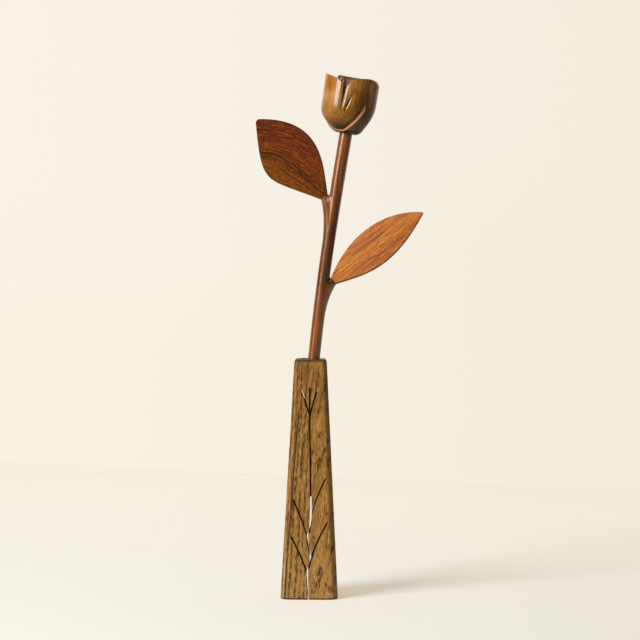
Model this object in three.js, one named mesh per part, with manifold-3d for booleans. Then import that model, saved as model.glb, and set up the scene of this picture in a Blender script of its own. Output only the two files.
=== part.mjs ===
// A carved wooden rose standing in a tapered wooden vase, in millimetres, +Z up.
// The origin is the middle of the vase's base. Seen from the front, +X is to the right and +Y goes back.
import * as THREE from 'three';
import { mergeVertices } from 'three/addons/utils/BufferGeometryUtils.js';
import Module from 'manifold-3d';

// Vase block
const VASE_HEIGHT = 167;
const VASE_BASE_WIDTH = 40;
const VASE_TOP_WIDTH = 22.5;
const VASE_CORNER_RADIUS = { base: 4, top: 2.8 };
const VASE_RIM = { inset: 1.6, drop: 3 };

// Hole for the stem, and the gaps between pieces
const BORE_DEPTH = 97;
const BORE_CLEARANCE = 0.4;
const SEAT_GAP = 0.3;
const PIN_CLEARANCE = 0.2;

// Branching line sawn through the vase from front to back
const KERF_WIDTH = 1.1;
const LINE_TOP_MARGIN = 20.3;
const TRUNK_SWAY = 2.2;
const TRUNK_OFFSET = -0.4;
const FORK_DEPTH = 20;
const FORK = { rise: 18.5, edgeMargins: { left: 6, right: 7.6 } };
const SPRIG = { rise: 26.2, edgeMargins: { left: 5, right: 5.1 } };
const SPRIG_HEIGHTS = [17.3, 27.2, 42.6, 57.5];
const SPRIG_BEND = { across: 0.3, up: 0.45 };

// Stem
const STEM_FOOT_OFFSET = -2.5;
const STEM_REACH = 26.2;
const STEM_RISE = 157;
const STEM_NECK_LEAN_DEG = 9.2;
const STEM_FOOT_DIAMETER = 7.9;
const STEM_NECK_DIAMETER = 9.1;
const STEM_FOOT_CHAMFER = 0.8;
const TENON_DIAMETER = 5.6;
const TENON_LENGTH = 10;

// Twigs: where each forks above the vase, how far it climbs, and how far its end stands off the stem's side
const TWIG_ROOT_DIAMETER = 8.6;
const TWIG_END_DIAMETER = 6.3;
const TWIG_END_HANDLE = 3.5;
const LOWER_TWIG = { forkRise: 26, climb: 28, standoff: 2.6 };
const UPPER_TWIG = { forkRise: 75.8, climb: 37.3, standoff: 3.2 };

// Leaves: a bulge is a control point of an edge, as a share of the length and a distance from the midline
const LEAF_THICKNESS = 3;
const LEAF_EDGE_RADIUS = 0.6;
const LOWER_LEAF = {
  length: 78.8, baseWidth: 5.2, riseDeg: 37.7, tiltDeg: -15, tipWidth: 0.8,
  leftBulge: [[0.43, 23.5], [0.8, 14.7]],
  rightBulge: [[0.28, 10.7], [0.49, 19.2]],
};
const UPPER_LEAF = {
  length: 71, baseWidth: 6, riseDeg: 132.5, tiltDeg: -10, tipWidth: 3.4,
  leftBulge: [[0.54, 22.2], [0.48, 28.5]],
  rightBulge: [[0.24, 14.3], [0.58, 36.8]],
};
const PIN_DIAMETER = 1.5;
const PIN_LENGTH = 14;

// Rosebud: an inner cup of two front petals, and an outer petal wrapped round its right and back
const BUD_HEIGHT = 39.7;
const BUD_BASE_RADIUS = 7.5;
const BUD_SWELL_HEIGHT = 18.8;
const BUD_SWELL_TILT = 3.2;
const BUD_FOOT_RADIUS = 2.5;
const CUP_RADIUS = 17.5;
const CUP_LEAN = 2.2;
const CUP_TIP_FLARE = 1.1;
const WRAP_STEP = 1.3;
const WRAP_LEAN = 1.1;
const WRAP_LIP_RADIUS = 4.8;
const WRAP_WALL = 4.4;
const RIM_LAND = 0.8;
const HOLLOW_FLOOR_HEIGHT = 22;

// Rim of the cup, by angle from the front to the right and share of the bud's height:
// the pointed left petal, the notch between the petals, then the right petal
const RIM_SHAPE = [
  [-180, 0.995], [-130, 0.997], [-90, 0.995], [-53, 0.947], [-37, 0.916], [-22, 0.86], [-15, 0.814],
  [-6, 0.875], [0, 0.941], [13, 0.97], [37, 0.99], [60, 0.98], [180, 0.995],
];

// Free edge of the outer petal, by angle and share of the bud's height: it leaves the rim behind on the left,
// dips under the front of the bud and climbs the right side to the rim again
const WRAP_LEFT = { rim: [-146, 1.1], fold: [-135, 0.6], pull: [-118, 0.04] };
const WRAP_LOW = { enter: [-88, 0.018], at: [-20, 0.024], leave: [16, 0.036] };
const WRAP_RIGHT = { pull: [36, 0.39], fold: [43, 0.58], rim: [44, 1.1] };
const WRAP_EDGE_SLOPE = 1.2;
const WRAP_WALL_BLEND_DEG = 20;

// Hollow between the petals, from its floor to its mouth, as shares of its depth and of the mouth's radius
const HOLLOW_SHAPE = [[0, 0.15], [0.1, 0.42], [0.35, 0.66], [0.85, 0.8], [1, 1]];

// Carved grooves on the front: each end as shares of the cup's radius and height, then its sizes
const PETAL_GROOVE = {
  low: [-0.335, 0.336], high: [-0.345, 1.05], leftWidth: 3.3, rightWidth: 1.8, depth: 2.7, fadesAtTop: false,
};
const PETAL_CREASE = {
  low: [-0.25, 0.332], high: [-0.1, 0.652], leftWidth: 0.9, rightWidth: 1.8, depth: 1.1, fadesAtTop: true,
};
const GROOVE_END_WIDTH = 0.5;
const GROOVE_OVERCUT = 0.25;

// Facets
const ARC_STEPS = 5;
const ROUND_SIDES = 24;
const BORE_SIDES = 48;
const PIN_SIDES = 12;
const BUD_SIDES = 72;
const BUD_LEVELS = 8;
const WRAP_EDGE_STEPS = 14;
const TRUNK_STEPS = 42;
const SPRIG_STEPS = 8;
const STEM_STEPS = 28;
const TWIG_STEPS = 10;
const GROOVE_STEPS = 10;
const LEAF_EDGE_STEPS = 20;
const LEAF_ROUND_STEPS = 2;
const HALVINGS = 40;

const wasm = await Module();
wasm.setup();

const { degToRad, radToDeg, lerp, smoothstep } = THREE.MathUtils;
const Y_AXIS = new THREE.Vector3(0, 1, 0);
const Z_AXIS = new THREE.Vector3(0, 0, 1);

// A closed surface through rings of points, each ring counter-clockwise about the way the rings advance
function loft(rings) {
  const sides = rings[0].length;
  const points = rings.flat();
  const faces = [];
  for (let i = 0; i + 1 < rings.length; i += 1) {
    for (let j = 0; j < sides; j += 1) {
      const a = i * sides + j;
      const b = i * sides + (j + 1) % sides;
      faces.push(a, b, b + sides, a, b + sides, a + sides);
    }
  }
  const cap = (ring, start, flip) => {
    const middle = ring.reduce((sum, p) => sum.add(p), new THREE.Vector3()).divideScalar(sides);
    points.push(middle);
    for (let j = 0; j < sides; j += 1) {
      const a = start + j;
      const b = start + (j + 1) % sides;
      faces.push(points.length - 1, flip ? b : a, flip ? a : b);
    }
  };
  cap(rings[0], 0, true);
  cap(rings.at(-1), (rings.length - 1) * sides, false);
  const geometry = new THREE.BufferGeometry().setFromPoints(points);
  geometry.setIndex(faces);
  return geometry;
}

// Closed surfaces to solids that can be joined and cut, and back
function solid(geometry) {
  const bare = geometry.clone();
  bare.deleteAttribute('normal');
  bare.deleteAttribute('uv');
  const merged = mergeVertices(bare);
  const vertProperties = new Float32Array(merged.attributes.position.array);
  const triVerts = new Uint32Array(merged.index.array);
  return new wasm.Manifold(new wasm.Mesh({ numProp: 3, vertProperties, triVerts }));
}

function surface(body) {
  const mesh = body.getMesh();
  const geometry = new THREE.BufferGeometry();
  geometry.setAttribute('position', new THREE.BufferAttribute(mesh.vertProperties, mesh.numProp));
  geometry.setIndex(new THREE.BufferAttribute(mesh.triVerts, 1));
  return geometry;
}

// A ring round a centre, square to a direction that lies in the front plane
function roundRing(centre, direction, radius, sides) {
  const across = new THREE.Vector3().crossVectors(direction, Y_AXIS);
  return Array.from({ length: sides }, (_, j) => {
    const turn = 2 * Math.PI * j / sides;
    return centre.clone()
      .addScaledVector(Y_AXIS, radius * Math.cos(turn))
      .addScaledVector(across, radius * Math.sin(turn));
  });
}

function rod(start, direction, length, diameter, sides) {
  const end = start.clone().addScaledVector(direction, length);
  return loft([start, end].map((centre) => roundRing(centre, direction, diameter / 2, sides)));
}

function sweep(curve, steps, radiusAt) {
  return Array.from({ length: steps + 1 }, (_, i) => {
    const t = i / steps;
    return roundRing(curve.getPoint(t), curve.getTangent(t), radiusAt(t), ROUND_SIDES);
  });
}

// A flat outline drawn in the front plane and cut straight along Y between two depths
function frontPrism(outline, yNear, yFar) {
  const geometry = new THREE.ExtrudeGeometry(outline, { depth: yFar - yNear, bevelEnabled: false });
  return geometry.rotateX(Math.PI / 2).translate(0, yFar, 0);
}

// Stem centre line, from its foot in the hole to the neck under the bud
const footZ = VASE_HEIGHT - BORE_DEPTH + SEAT_GAP;
const neckZ = VASE_HEIGHT + STEM_RISE;
const leanVector = (deg) => new THREE.Vector3(Math.sin(degToRad(deg)), 0, Math.cos(degToRad(deg)));
const neckDirection = leanVector(STEM_NECK_LEAN_DEG);

function stemCurve() {
  const foot = new THREE.Vector3(STEM_FOOT_OFFSET, 0, footZ);
  const neck = new THREE.Vector3(STEM_FOOT_OFFSET + STEM_REACH, 0, neckZ);
  const handle = (neckZ - footZ) / 3;
  return new THREE.CubicBezierCurve3(
    foot,
    foot.clone().addScaledVector(Z_AXIS, handle),
    neck.clone().addScaledVector(neckDirection, -handle),
    neck,
  );
}

const stemLine = stemCurve();
const stemRadius = (t) => lerp(STEM_FOOT_DIAMETER, STEM_NECK_DIAMETER, t) / 2;
const neckPoint = stemLine.getPoint(1);

function stemShareAt(height) {
  let low = 0;
  let high = 1;
  for (let step = 0; step < HALVINGS; step += 1) {
    const middle = (low + high) / 2;
    if (stemLine.getPoint(middle).z < height) low = middle;
    else high = middle;
  }
  return low;
}

// Vase
const vaseHalfWidth = (z) => lerp(VASE_BASE_WIDTH, VASE_TOP_WIDTH, z / VASE_HEIGHT) / 2;

function vaseRing(halfWidth, cornerRadius, z) {
  const inset = halfWidth - cornerRadius;
  const ring = [];
  for (let corner = 0; corner < 4; corner += 1) {
    const middle = (corner + 0.5) * Math.PI / 2;
    for (let step = 0; step <= ARC_STEPS; step += 1) {
      const turn = (corner + step / ARC_STEPS) * Math.PI / 2;
      ring.push(new THREE.Vector3(
        Math.sign(Math.cos(middle)) * inset + cornerRadius * Math.cos(turn),
        Math.sign(Math.sin(middle)) * inset + cornerRadius * Math.sin(turn),
        z,
      ));
    }
  }
  return ring;
}

// The rim is rounded over, and the corners tighten to half their radius on the way
function vaseBlock() {
  const cornerRadius = (z) => lerp(VASE_CORNER_RADIUS.base, VASE_CORNER_RADIUS.top, z / VASE_HEIGHT);
  const rings = [vaseRing(vaseHalfWidth(0), cornerRadius(0), 0)];
  for (let step = 0; step <= ARC_STEPS; step += 1) {
    const share = step / ARC_STEPS;
    const turn = share * Math.PI / 2;
    const z = VASE_HEIGHT - VASE_RIM.drop * (1 - Math.sin(turn));
    const halfWidth = vaseHalfWidth(z) - VASE_RIM.inset * (1 - Math.cos(turn));
    rings.push(vaseRing(halfWidth, cornerRadius(z) * (1 - share / 2), z));
  }
  return loft(rings);
}

// One saw cut of even width along a curve in the front plane
function sawCut(curve, steps) {
  const left = [];
  const right = [];
  for (let step = 0; step <= steps; step += 1) {
    const point = curve.getPoint(step / steps);
    const tangent = curve.getTangent(step / steps);
    const side = new THREE.Vector2(-tangent.y, tangent.x).multiplyScalar(KERF_WIDTH / 2);
    left.push(point.clone().add(side));
    right.push(point.clone().sub(side));
  }
  const outline = new THREE.Shape([...left, ...right.reverse()]);
  return solid(frontPrism(outline, -VASE_BASE_WIDTH, VASE_BASE_WIDTH));
}

// A curved branch from the trunk to a tip that keeps its margin from the vase's edge
function branchCut(root, side, { rise, edgeMargins }) {
  const tipZ = root.y + rise;
  const edgeMargin = side < 0 ? edgeMargins.left : edgeMargins.right;
  const tip = new THREE.Vector2(side * (vaseHalfWidth(tipZ) - edgeMargin), tipZ);
  const bend = new THREE.Vector2(lerp(root.x, tip.x, SPRIG_BEND.across), root.y + SPRIG_BEND.up * rise);
  return sawCut(new THREE.QuadraticBezierCurve(root, bend, tip), SPRIG_STEPS);
}

// Sprigs leave by turns to the left and right, and the trunk, open at the base, sways towards each of them
function sawnLines() {
  const trunkTop = VASE_HEIGHT - LINE_TOP_MARGIN;
  const fork = new THREE.Vector2(TRUNK_OFFSET, trunkTop - FORK_DEPTH);
  const sprigSide = (i) => (i % 2 ? 1 : -1);
  const roots = SPRIG_HEIGHTS.map((height, i) => (
    new THREE.Vector2(TRUNK_OFFSET + sprigSide(i) * TRUNK_SWAY / 2, height)));
  const trunk = new THREE.SplineCurve([
    new THREE.Vector2(TRUNK_OFFSET, -KERF_WIDTH), ...roots, fork, new THREE.Vector2(TRUNK_OFFSET, trunkTop),
  ]);
  const cuts = [sawCut(trunk, TRUNK_STEPS)];
  roots.forEach((root, i) => cuts.push(branchCut(root, sprigSide(i), SPRIG)));
  cuts.push(branchCut(fork, -1, FORK), branchCut(fork, 1, FORK));
  return cuts.reduce((all, cut) => all.add(cut));
}

// The hole is straight and upright, and just wide enough for the curved stem to lift out
function bore() {
  const mouthShare = stemShareAt(VASE_HEIGHT);
  const sides = Array.from({ length: STEM_STEPS + 1 }, (_, i) => {
    const t = mouthShare * i / STEM_STEPS;
    const { x } = stemLine.getPoint(t);
    return [x - stemRadius(t), x + stemRadius(t)];
  });
  const low = Math.min(...sides.map(([left]) => left)) - BORE_CLEARANCE;
  const high = Math.max(...sides.map(([, right]) => right)) + BORE_CLEARANCE;
  const floor = new THREE.Vector3((low + high) / 2, 0, VASE_HEIGHT - BORE_DEPTH);
  return solid(rod(floor, Z_AXIS, 2 * BORE_DEPTH, high - low, BORE_SIDES));
}

function vase() {
  return surface(solid(vaseBlock()).subtract(bore()).subtract(sawnLines()));
}

// Each twig leaves the stem along its centre line and turns to face its leaf
function twigShape({ forkRise, climb, standoff }, { riseDeg }) {
  const forkShare = stemShareAt(VASE_HEIGHT + forkRise);
  const endShare = stemShareAt(VASE_HEIGHT + forkRise + climb);
  const direction = leanVector(90 - riseDeg);
  const side = Math.sign(direction.x);
  const root = stemLine.getPoint(forkShare);
  const end = stemLine.getPoint(endShare);
  end.x += side * (stemRadius(endShare) + standoff);
  const curve = new THREE.CubicBezierCurve3(
    root,
    root.clone().addScaledVector(stemLine.getTangent(forkShare), climb / 2),
    end.clone().addScaledVector(direction, -TWIG_END_HANDLE),
    end,
  );
  return { curve, end, direction };
}

const lowerTwig = twigShape(LOWER_TWIG, LOWER_LEAF);
const upperTwig = twigShape(UPPER_TWIG, UPPER_LEAF);
const twigRadius = (t) => lerp(TWIG_ROOT_DIAMETER, TWIG_END_DIAMETER, t) / 2;

function pinHole({ end, direction }) {
  const length = PIN_LENGTH + 2 * SEAT_GAP;
  const start = end.clone().addScaledVector(direction, (SEAT_GAP - length) / 2);
  return solid(rod(start, direction, length, PIN_DIAMETER + 2 * PIN_CLEARANCE, PIN_SIDES));
}

function stem() {
  const rings = sweep(stemLine, STEM_STEPS, stemRadius);
  const footRing = roundRing(stemLine.getPoint(0), Z_AXIS, stemRadius(0) - STEM_FOOT_CHAMFER, ROUND_SIDES);
  rings[0].forEach((point) => point.addScaledVector(Z_AXIS, STEM_FOOT_CHAMFER));
  const tenonEnd = neckPoint.clone().addScaledVector(neckDirection, TENON_LENGTH);
  const tenon = [neckPoint, tenonEnd].map((centre) => (
    roundRing(centre, neckDirection, TENON_DIAMETER / 2, ROUND_SIDES)));
  let body = solid(loft([footRing, ...rings, ...tenon]));
  for (const twig of [lowerTwig, upperTwig]) {
    const branch = solid(loft(sweep(twig.curve, TWIG_STEPS, twigRadius)));
    body = body.add(branch).subtract(pinHole(twig));
  }
  return surface(body);
}

// Leaves: flat boards with softened edges, seated square on the twig's end
function leafOutline({ length, baseWidth, tipWidth, leftBulge, rightBulge }) {
  const [leftOne, leftTwo] = leftBulge;
  const [rightOne, rightTwo] = rightBulge;
  const outline = new THREE.Shape();
  outline.moveTo(0, -baseWidth / 2);
  outline.bezierCurveTo(rightOne[0] * length, -rightOne[1], rightTwo[0] * length, -rightTwo[1],
    length, -tipWidth / 2);
  outline.lineTo(length, tipWidth / 2);
  outline.bezierCurveTo(leftTwo[0] * length, leftTwo[1], leftOne[0] * length, leftOne[1], 0, baseWidth / 2);
  return outline;
}

function leaf(shape, twig) {
  const board = new THREE.ExtrudeGeometry(leafOutline(shape), {
    depth: LEAF_THICKNESS - 2 * LEAF_EDGE_RADIUS,
    bevelThickness: LEAF_EDGE_RADIUS,
    bevelSize: LEAF_EDGE_RADIUS,
    bevelOffset: -LEAF_EDGE_RADIUS,
    bevelSegments: LEAF_ROUND_STEPS,
    curveSegments: LEAF_EDGE_STEPS,
  });
  board.translate(0, 0, LEAF_EDGE_RADIUS - LEAF_THICKNESS / 2);
  board.rotateX(degToRad(shape.tiltDeg));
  const along = twig.direction;
  const front = Y_AXIS.clone().negate();
  const across = new THREE.Vector3().crossVectors(front, along);
  const seat = twig.end.clone().addScaledVector(along, SEAT_GAP);
  board.applyMatrix4(new THREE.Matrix4().makeBasis(along, across, front).setPosition(seat));
  return surface(solid(board).subtract(pinHole(twig)));
}

function pin({ end, direction }) {
  const start = end.clone().addScaledVector(direction, (SEAT_GAP - PIN_LENGTH) / 2);
  return rod(start, direction, PIN_LENGTH, PIN_DIAMETER, PIN_SIDES);
}

// Rosebud, drawn on its own upright axis. Angles run from the front to the right, in degrees.
const wrapFrontRadius = CUP_RADIUS + WRAP_STEP;
const rightward = (deg) => Math.sin(degToRad(deg));

function swell(deg, z) {
  const height = BUD_SWELL_HEIGHT + BUD_SWELL_TILT * rightward(deg);
  return Math.sin(Math.min(z / height, 1) * Math.PI / 2);
}

// How far an edge rounded to a radius has drawn in, at a distance into the rounding
function drawnIn(into, radius) {
  const depth = THREE.MathUtils.clamp(into, 0, radius);
  return radius - Math.sqrt(radius ** 2 - depth ** 2);
}

const footDrawnIn = (z) => drawnIn(BUD_FOOT_RADIUS - z, BUD_FOOT_RADIUS);

function cupRadius(deg, z) {
  const flare = CUP_TIP_FLARE * Math.max(0, -rightward(deg)) * z / BUD_HEIGHT;
  const full = CUP_RADIUS - CUP_LEAN * rightward(deg) + flare;
  return lerp(BUD_BASE_RADIUS, full, swell(deg, z)) - footDrawnIn(z);
}

function wrapRadius(deg, z) {
  const full = wrapFrontRadius - WRAP_LEAN * rightward(deg);
  const lip = drawnIn(z - BUD_HEIGHT + WRAP_LIP_RADIUS, WRAP_LIP_RADIUS);
  return lerp(BUD_BASE_RADIUS + WRAP_STEP, full, swell(deg, z)) - footDrawnIn(z) - lip;
}

function rimHeight(deg) {
  const next = Math.max(RIM_SHAPE.findIndex(([at]) => at >= deg), 1);
  const [endDeg, endShare] = RIM_SHAPE[next];
  const [startDeg, startShare] = RIM_SHAPE[next - 1];
  return BUD_HEIGHT * lerp(startShare, endShare, (deg - startDeg) / (endDeg - startDeg));
}

const budPoint = (deg, radius, z) => (
  new THREE.Vector3(radius * rightward(deg), -radius * Math.cos(degToRad(deg)), z));

function budRing(radiusAt, heightAt) {
  return Array.from({ length: BUD_SIDES }, (_, j) => {
    const deg = -180 + 360 * j / BUD_SIDES;
    const z = heightAt(deg);
    return budPoint(deg, radiusAt(deg, z), z);
  });
}

// Both petals' rings stay level round the foot and up to the waist, where the bud is at its full width
const waist = BUD_SWELL_HEIGHT + BUD_SWELL_TILT;
const quarterTurns = Array.from({ length: ARC_STEPS + 1 }, (_, i) => i / ARC_STEPS * Math.PI / 2);
const levels = [
  ...quarterTurns.map((turn) => BUD_FOOT_RADIUS * (1 - Math.cos(turn))),
  ...Array.from({ length: BUD_LEVELS }, (_, i) => lerp(BUD_FOOT_RADIUS, waist, (i + 1) / BUD_LEVELS)),
];

function frontPetals() {
  const rings = levels.map((z) => budRing(cupRadius, () => z));
  rings.push(budRing(cupRadius, (deg) => (waist + rimHeight(deg)) / 2), budRing(cupRadius, rimHeight));
  return solid(loft(rings));
}

// What is cut from the outer petal: all above its free edge, whose face slopes so that it shows from outside
function wrapCut() {
  const edge = new THREE.Path();
  edge.moveTo(...WRAP_LEFT.rim);
  edge.lineTo(...WRAP_LEFT.fold);
  edge.bezierCurveTo(...WRAP_LEFT.pull, ...WRAP_LOW.enter, ...WRAP_LOW.at);
  edge.bezierCurveTo(...WRAP_LOW.leave, ...WRAP_RIGHT.pull, ...WRAP_RIGHT.fold);
  edge.lineTo(...WRAP_RIGHT.rim);
  const above = 2 * BUD_HEIGHT;
  const outside = 2 * wrapFrontRadius;
  return solid(loft(edge.getPoints(WRAP_EDGE_STEPS).map(({ x: deg, y: share }) => {
    const edgeZ = share * BUD_HEIGHT;
    const edgeRadius = wrapRadius(deg, edgeZ);
    const inside = cupRadius(deg, edgeZ) - WRAP_STEP;
    const slopedZ = (radius) => edgeZ + WRAP_EDGE_SLOPE * (edgeRadius - radius);
    return [[inside, slopedZ(inside)], [inside, above], [outside, above], [outside, slopedZ(outside)]]
      .map(([radius, z]) => budPoint(deg, radius, z));
  })));
}

function outerPetal() {
  const lipStart = BUD_HEIGHT - WRAP_LIP_RADIUS;
  const lipHeights = quarterTurns.map((turn) => lipStart + WRAP_LIP_RADIUS * Math.sin(turn));
  const rings = [...levels, ...lipHeights].map((height) => budRing(wrapRadius, () => height));
  return solid(loft(rings)).subtract(wrapCut());
}

function hollow() {
  const mouth = (deg) => {
    const [rightDeg] = WRAP_RIGHT.fold;
    const [leftDeg] = WRAP_LEFT.fold;
    const wrapped = Math.max(
      smoothstep(deg, rightDeg - WRAP_WALL_BLEND_DEG, rightDeg),
      smoothstep(-deg, -leftDeg - WRAP_WALL_BLEND_DEG, -leftDeg),
    );
    return cupRadius(deg, rimHeight(deg)) - lerp(RIM_LAND, WRAP_WALL, wrapped);
  };
  const rings = HOLLOW_SHAPE.map(([rise, share]) => budRing(
    (deg) => share * mouth(deg),
    (deg) => lerp(HOLLOW_FLOOR_HEIGHT, rimHeight(deg), rise),
  ));
  rings.push(budRing(mouth, () => 2 * BUD_HEIGHT));
  return solid(loft(rings));
}

// A V cut into the cup's front that runs out to nothing at its faded ends
function groove({ low, high, leftWidth, rightWidth, depth, fadesAtTop }) {
  const overcut = depth * GROOVE_OVERCUT;
  const outside = -2 * CUP_RADIUS;
  const face = (x, z) => {
    const radius = cupRadius(radToDeg(Math.asin(x / CUP_RADIUS)), z);
    return -Math.sqrt(radius ** 2 - x ** 2);
  };
  const rings = Array.from({ length: GROOVE_STEPS + 1 }, (_, i) => {
    const share = i / GROOVE_STEPS;
    const x = lerp(low[0], high[0], share) * CUP_RADIUS;
    const z = lerp(low[1], high[1], share) * BUD_HEIGHT;
    const strength = Math.sin(share * (fadesAtTop ? Math.PI : Math.PI / 2));
    const left = x - leftWidth * lerp(GROOVE_END_WIDTH, 1, strength);
    const right = x + rightWidth * lerp(GROOVE_END_WIDTH, 1, strength);
    return [
      [left, outside],
      [right, outside],
      [right, face(right, z) - overcut],
      [x, face(x, z) - overcut + strength * (depth + overcut)],
      [left, face(left, z) - overcut],
    ].map(([px, py]) => new THREE.Vector3(px, py, z));
  });
  return solid(loft(rings));
}

function rosebud() {
  const socketFoot = new THREE.Vector3(0, 0, -SEAT_GAP);
  const socketDiameter = TENON_DIAMETER + 2 * SEAT_GAP;
  const socket = rod(socketFoot, Z_AXIS, TENON_LENGTH + SEAT_GAP, socketDiameter, ROUND_SIDES);
  const carved = frontPetals().subtract(groove(PETAL_GROOVE)).subtract(groove(PETAL_CREASE));
  return surface(carved.add(outerPetal()).subtract(hollow()).subtract(solid(socket)));
}

const finish = (color, roughness) => new THREE.MeshStandardMaterial({ color, roughness, metalness: 0 });
const steel = () => new THREE.MeshStandardMaterial({ color: 0xb9b4aa, roughness: 0.35, metalness: 1 });

const rose = new THREE.Group();

function add(name, geometry, material) {
  const mesh = new THREE.Mesh(geometry, material);
  mesh.name = name;
  rose.add(mesh);
  return mesh;
}

add('vase', vase(), finish(0x94703c, 0.55));
add('stem', stem(), finish(0x6a3a22, 0.4));
add('upper_leaf', leaf(UPPER_LEAF, upperTwig), finish(0x6e3322, 0.45));
add('lower_leaf', leaf(LOWER_LEAF, lowerTwig), finish(0xa85a2a, 0.45));
add('upper_leaf_pin', pin(upperTwig), steel());
add('lower_leaf_pin', pin(lowerTwig), steel());
const bud = add('rosebud', rosebud(), finish(0x8a5a26, 0.4));
bud.position.copy(neckPoint).addScaledVector(neckDirection, SEAT_GAP);
bud.rotation.y = degToRad(STEM_NECK_LEAN_DEG);

export default rose;
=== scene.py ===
import math

import bmesh
import bpy
import numpy as np
from mathutils import Matrix, Vector


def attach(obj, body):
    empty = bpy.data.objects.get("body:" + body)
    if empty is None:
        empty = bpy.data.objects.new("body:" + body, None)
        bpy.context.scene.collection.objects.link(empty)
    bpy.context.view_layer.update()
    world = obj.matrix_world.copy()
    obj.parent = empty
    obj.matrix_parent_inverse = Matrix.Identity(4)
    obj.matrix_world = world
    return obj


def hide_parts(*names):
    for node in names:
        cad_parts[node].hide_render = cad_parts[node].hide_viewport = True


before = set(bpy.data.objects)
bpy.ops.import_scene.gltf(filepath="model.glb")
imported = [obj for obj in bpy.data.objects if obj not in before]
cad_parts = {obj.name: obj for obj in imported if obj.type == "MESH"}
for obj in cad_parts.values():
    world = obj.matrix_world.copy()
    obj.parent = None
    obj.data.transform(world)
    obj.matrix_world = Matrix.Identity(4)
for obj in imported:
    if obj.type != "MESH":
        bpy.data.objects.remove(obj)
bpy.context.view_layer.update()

MM = 0.001

# Vase block, its hole and the branching line sawn through it: -1 is its left side and 1 its right
VASE_HEIGHT = 167
VASE_BASE_WIDTH = 40
VASE_TOP_WIDTH = 22.5
VASE_CORNER_RADII = (4, 2.8)
VASE_CORNER_FLATNESS = 0.65
VASE_RIM = {"inset": 2.3, "drop": 3.2}
VASE_FOOT_RADIUS = 1.3
BORE_DEPTH = 97
BORE_CLEARANCE = 0.4
KERF_WIDTH = 1.1
KERF_END_DEG = (80, 60, 40, 20)
KERF_WALL_LIMIT = 0.8
LINE_TOP_MARGIN = 20.3
TRUNK_SWAY = 2.2
TRUNK_OFFSET = -0.4
FORK_DEPTH = 20
FORK = {"rise": 18.5, "edge_margins": {-1: 6, 1: 7.6}}
SPRIG = {"rise": 26.2, "edge_margins": {-1: 5, 1: 5.1}}
SPRIG_ROOTS = ((-1, 17.3), (1, 27.2), (-1, 42.6), (1, 57.5))
SPRIG_BEND = {"across": 0.3, "up": 0.45}

# Stem and its two twigs
SEAT_GAP = 0.3
STEM_FOOT_OFFSET = -2.5
STEM_REACH = 26.2
STEM_RISE = 157
STEM_NECK_LEAN_DEG = 9.2
STEM_FOOT_DIAMETER = 7.9
STEM_NECK_DIAMETER = 9.1
TENON_DIAMETER = 5.6
TENON_LENGTH = 10
NECK_SEAT_DEPTH = 0.7
NECK_OVERLAP = 1
TWIG_ROOT_DIAMETER = 8.6
TWIG_END_DIAMETER = 6.3
TWIG_END_HANDLE = 3.5
WEB_CLIMB = 0.96
WEB_SHARES = (0.25, 0.5, 0.75)
LOWER_TWIG = {"fork_rise": 26, "climb": 28, "standoff": 2.6}
UPPER_TWIG = {"fork_rise": 75.8, "climb": 37.3, "standoff": 3.2}

# Leaves, their pins and the holes for these
LEAF_THICKNESS = 3
LOWER_LEAF = {
    "length": 78.8, "base_width": 5.2, "rise_deg": 37.7, "tilt_deg": -15, "tip_width": 0.8, "tip_shift": 0,
    "left_bulge": ((0.43, 23.5), (0.8, 14.7)),
    "right_bulge": ((0.28, 10.7), (0.49, 19.2)),
}
UPPER_LEAF = {
    "length": 71, "base_width": 6, "rise_deg": 132.5, "tilt_deg": -10, "tip_width": 2.4, "tip_shift": -1,
    "left_bulge": ((0.54, 22.2), (0.48, 28.5)),
    "right_bulge": ((0.24, 14.3), (0.58, 36.8)),
}
PIN_LENGTH = 14
PIN_HOLE_DIAMETER = 1.9

# Rosebud: angles run from the front to the right, in degrees
BUD_HEIGHT = 39.7
BUD_BASE_RADIUS = 7.5
BUD_SWELL_HEIGHT = 18.8
BUD_SWELL_TILT = 3.2
BUD_FOOT_RADIUS = 2.5
CUP_RADIUS = 17.5
CUP_LEAN = 2.2
CUP_TIP_FLARE = 1.1
WRAP_STEP = 1.3
WRAP_LEAN = 1.1
WRAP_LIP_RADIUS = 4.8
WRAP_WALL = 4.4
RIM_LAND = 0.8
HOLLOW_FLOOR_HEIGHT = 22
RIM_SHAPE = (
    (-180, 1.03), (-142, 1.03), (-137, 0.9), (-128, 0.9), (-115, 0.945), (-98, 0.985), (-90, 0.995),
    (-53, 0.947), (-38, 0.914), (-31, 0.872), (-25.5, 0.835), (-18, 0.81), (-13, 0.825), (-6, 0.875),
    (0, 0.935), (13, 0.968), (37, 0.99), (60, 0.98), (100, 0.99), (140, 1.03), (180, 1.03),
)
RIM_ROUNDING_DEG = 2
WRAP_EDGE = (
    ((-143, 1.1), (-128, 0.6)),
    ((-128, 0.6), (-112, 0.04), (-88, 0.018), (-20, 0.024)),
    ((-20, 0.024), (16, 0.036), (36, 0.39), (43, 0.58)),
    ((43, 0.58), (44, 1.1)),
)
WRAP_EDGE_SLOPE = 1.8
WRAP_WALL_BLEND_DEG = 20
WRAP_FOLD_DEG = (-128, 43)
HOLLOW_SHAPE = ((0, 0.15), (0.1, 0.42), (0.35, 0.66), (0.85, 0.8), (1, 1))
PETAL_GROOVE = {
    "low": (-0.335, 0.336), "high": (-0.345, 1.05), "fades_at_top": False,
    "facet": {"width": 0.85, "depth": 0.36, "fade": 0.3}, "roll": {"widths": (1.6, 0.5), "depth": 1.7},
    "slot": {"width": 1.5, "depth": 3.4}, "edge": {"width": 4.4, "depth": 1.9},
}
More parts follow.
